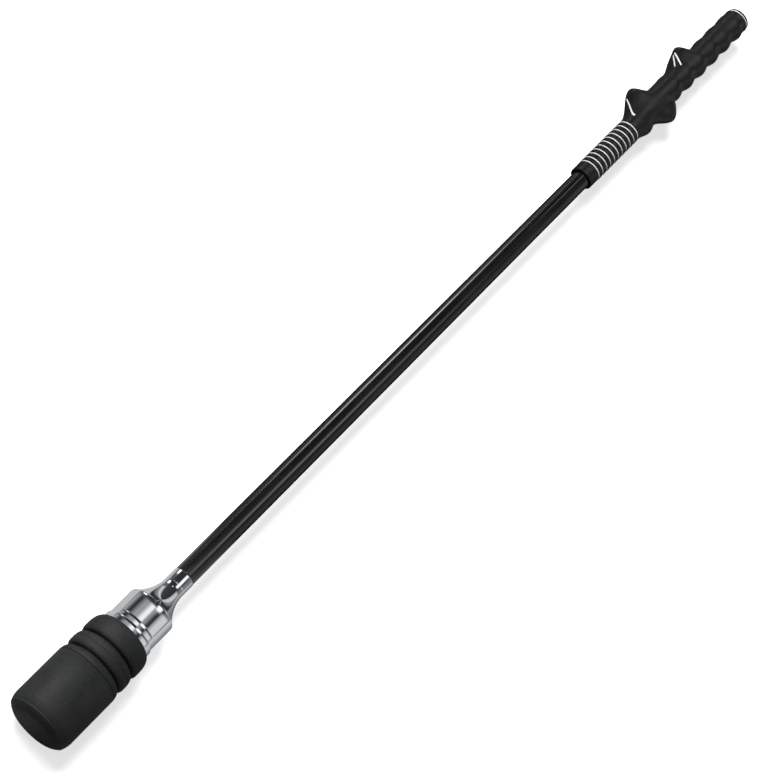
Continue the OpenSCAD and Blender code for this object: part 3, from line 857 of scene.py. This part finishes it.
def makeFloor():
    # white to the eye with soft shadows, greyer as a bouncing surface, and glowing with painted reflections that only
    # mirrors see, tones set by place like a studio's flags
    drop = min(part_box(label)[0].z for label in nodes) - stage["clearance"]
    half = stage["floorSize"] / 2
    mesh = bpy.data.meshes.new("floor")
    corners = [(-half, -half, drop), (half, -half, drop), (half, half, drop), (-half, half, drop)]
    mesh.from_pydata(corners, [], [(0, 1, 2, 3)])
    floor = bpy.data.objects.new("floor", mesh)
    scene.collection.objects.link(floor)
    material, tree, shader = newMaterial("paleFloor", Roughness=stage["roughness"], Specular_IOR_Level=0.0)
    shader.inputs["Base Color"].default_value = (*stage["floorColour"], 1)
    shader.inputs["Emission Color"].default_value = (1, 1, 1, 1)
    shader.inputs["Emission Strength"].default_value = stage["lift"]
    ways = tree.nodes.new("ShaderNodeLightPath")
    bounce = tree.nodes.new("ShaderNodeBsdfDiffuse")
    bounce.inputs["Color"].default_value = (*stage["bounce"], 1)
    seen = tree.nodes.new("ShaderNodeMixShader")
    tree.links.new(ways.outputs["Is Camera Ray"], seen.inputs["Fac"])
    tree.links.new(bounce.outputs[0], seen.inputs[1])
    tree.links.new(shader.outputs[0], seen.inputs[2])
    place = tree.nodes.new("ShaderNodeTexCoord")
    split = tree.nodes.new("ShaderNodeSeparateXYZ")
    tree.links.new(place.outputs["Object"], split.inputs[0])
    near = rangeNode(tree, split.outputs["X"], *stage["head"], 1, 0)
    grippy = rangeNode(tree, split.outputs["X"], *stage["grip"], stage["farTone"], stage["gripTone"])
    away = mathNode(tree, "ABSOLUTE", split.outputs["Y"])
    aside = rangeNode(tree, away, *stage["aside"], 0, stage["asideTone"])
    grippy = mathNode(tree, "MAXIMUM", grippy, aside)
    low = rangeNode(tree, split.outputs["Y"], *stage["low"], stage["nearTone"], stage["lowEdge"])
    high = rangeNode(tree, split.outputs["Y"], *stage["high"])
    level = mathNode(tree, "ADD", low, mathNode(tree, "MULTIPLY", high, stage["nearTone"] - stage["lowEdge"]))
    tone = mathNode(tree, "ADD", mathNode(tree, "MULTIPLY", near, level),
                    mathNode(tree, "MULTIPLY", mathNode(tree, "SUBTRACT", 1.0, near), grippy))
    # painted reflection: these tones glow from the floor in glossy rays only
    mirrored = tree.nodes.new("ShaderNodeEmission")
    mirrored.inputs["Color"].default_value = (*stage["tint"], 1)
    tree.links.new(tone, mirrored.inputs["Strength"])
    whole = tree.nodes.new("ShaderNodeMixShader")
    tree.links.new(ways.outputs["Is Glossy Ray"], whole.inputs["Fac"])
    tree.links.new(seen.outputs[0], whole.inputs[1])
    tree.links.new(mirrored.outputs[0], whole.inputs[2])
    tree.links.new(whole.outputs[0], tree.nodes["Material Output"].inputs["Surface"])
    floor.data.materials.append(material)


makeFloor()

# what mirrors see: pairs of (direction round the stick in degrees, grey), 0 being the ledge side and 90 straight up
studio = {
    "aroundChrome": [(-180, 0.62), (-90, 0.55), (-10, 0.55), (5, 0.36), (14, 0.15), (22, 0.04), (30, 0.035),
                     (40, 0.18), (52, 0.34), (66, 0.36), (76, 0.7), (83, 1.0), (93, 1.0), (100, 0.36), (112, 0.22),
                     (120, 0.05), (130, 0.03), (138, 0.36), (150, 0.64), (165, 0.66), (180, 0.62)],
    "aroundShaft": [(-180, 0.2), (-90, 0.2), (0, 0.15), (28, 0.08), (48, 0.03), (85, 0.03), (134, 0.03), (142, 0.1),
                    (156, 0.18), (180, 0.22)],
    "aroundGrip": [(-180, 0.55), (-90, 0.5), (0, 0.1), (22, 0.14), (32, 0.1), (42, 0.05), (134, 0.03), (144, 0.4),
                   (154, 0.6), (180, 0.5)],
    "aroundFlare": [(-180, 0.6), (-90, 0.55), (-10, 0.62), (19, 0.62), (28, 0.3), (38, 0.05), (134, 0.03),
                    (144, 0.4), (154, 0.6), (180, 0.6)],
    "toShaft": (0.364, 0.372), "toGrip": (0.56, 0.60), "toFlare": (0.67, 0.72),
    "skyLight": 0.19, "skySeen": 0.96,
    # narrow strip lights: direction, half width, where they start and end along the stick, strength
    "strips": [(114, 17, 0.35, 0.37, 0.46, 0.53, 1.35), (20.5, 11, 0.41, 0.47, 0.50, 0.55, 6.0),
               (78.5, 9, 0.545, 0.57, 0.575, 0.585, 1.6)]}


def bandRamp(tree, position, bands):
    # a ramp once round the stick, with each grey given the studio's cool tint
    ramp = tree.nodes.new("ShaderNodeValToRGB")
    elements = ramp.color_ramp.elements
    for degrees, _ in bands[1:-1]:
        elements.new((degrees + 180) / 360)
    for element, (_, grey) in zip(elements, bands):
        element.color = (*(grey * part for part in stage["tint"]), 1)
    tree.links.new(position, ramp.inputs["Fac"])
    return ramp.outputs["Color"]


def mixColour(tree, factor, first, second, blend="MIX"):
    mix = tree.nodes.new("ShaderNodeMix")
    mix.data_type = "RGBA"
    mix.blend_type = blend
    mix.clamp_result = False
    for label, value in (("Factor", factor), ("A", first), ("B", second)):
        if isinstance(value, (int, float)):
            mix.inputs[label].default_value = value
        else:
            tree.links.new(value, mix.inputs[label])
    return mix.outputs["Result"]


def makeStudio():
    world = bpy.data.worlds.new("studio")
    scene.world = world
    world.use_nodes = True
    tree = world.node_tree
    tree.nodes.clear()
    place = tree.nodes.new("ShaderNodeTexCoord")
    split = tree.nodes.new("ShaderNodeSeparateXYZ")
    tree.links.new(place.outputs["Generated"], split.inputs[0])
    angle = mathNode(tree, "ARCTAN2", split.outputs["Z"], split.outputs["Y"])
    position = rangeNode(tree, angle, -math.pi, math.pi)
    degrees = rangeNode(tree, angle, -math.pi, math.pi, -180, 180)
    along = split.outputs["X"]
    seen = bandRamp(tree, position, studio["aroundChrome"])
    for change, label in (("toShaft", "aroundShaft"), ("toGrip", "aroundGrip"), ("toFlare", "aroundFlare")):
        seen = mixColour(tree, rangeNode(tree, along, *studio[change]), seen, bandRamp(tree, position, studio[label]))
    for centre, width, start, full, fade, stop, strength in studio["strips"]:
        off = mathNode(tree, "DIVIDE", mathNode(tree, "SUBTRACT", degrees, centre), width)
        body = mathNode(tree, "MAXIMUM", mathNode(tree, "SUBTRACT", 1.0, mathNode(tree, "MULTIPLY", off, off)), 0.0)
        ends = mathNode(tree, "MULTIPLY", rangeNode(tree, along, start, full),
                        rangeNode(tree, along, fade, stop, 1, 0))
        amount = mathNode(tree, "MULTIPLY", mathNode(tree, "MULTIPLY", body, ends), strength)
        seen = mixColour(tree, 1.0, seen, amount, "ADD")
    ways = tree.nodes.new("ShaderNodeLightPath")
    glossy = tree.nodes.new("ShaderNodeBackground")
    tree.links.new(seen, glossy.inputs["Color"])
    plain = tree.nodes.new("ShaderNodeBackground")
    plain.inputs["Color"].default_value = (1, 1, 1, 1)
    level = rangeNode(tree, ways.outputs["Is Camera Ray"], 0, 1, studio["skyLight"], studio["skySeen"])
    tree.links.new(level, plain.inputs["Strength"])
    mix = tree.nodes.new("ShaderNodeMixShader")
    tree.links.new(ways.outputs["Is Glossy Ray"], mix.inputs["Fac"])
    tree.links.new(plain.outputs[0], mix.inputs[1])
    tree.links.new(glossy.outputs[0], mix.inputs[2])
    output = tree.nodes.new("ShaderNodeOutputWorld")
    tree.links.new(mix.outputs[0], output.inputs["Surface"])


makeStudio()
# where each lamp stands, what it aims at, its width and power; the last two light the rubber alone
lamps = {
    "keyLamp": {"place": (0.52, 0.76, 1.50), "target": (0.35, 0, 0), "size": 1.1, "power": 38},
    "headLamp": {"place": (0.45, 0.79, 0.81), "target": (0.045, 0, 0), "size": 0.42, "power": 25.0},
    "gripLamp": {"place": (1.45, 0.12, 0.93), "target": (0.72, 0, 0), "size": 0.8, "power": 1.6}}


def makeLamp(name, piece=None):
    values = lamps[name]
    data = bpy.data.lights.new(name, "AREA")
    data.shape = "DISK"
    data.size, data.energy = values["size"], values["power"]
    lamp = bpy.data.objects.new(name, data)
    scene.collection.objects.link(lamp)
    if piece:
        lamp.visible_diffuse = False
        lit = bpy.data.collections.new(name + "Pieces")
        lit.objects.link(piece)
        lamp.light_linking.receiver_collection = lit
    else:
        lamp.visible_glossy = False  # the painted studio is what mirrors show
    aim = (Vector(values["target"]) - Vector(values["place"])).to_track_quat("-Z", "Y")
    lamp.matrix_world = Matrix.Translation(values["place"]) @ aim.to_matrix().to_4x4()


makeLamp("keyLamp")
makeLamp("headLamp", rubberCover)
makeLamp("gripLamp", gripSleeve)
print("stage and light made")
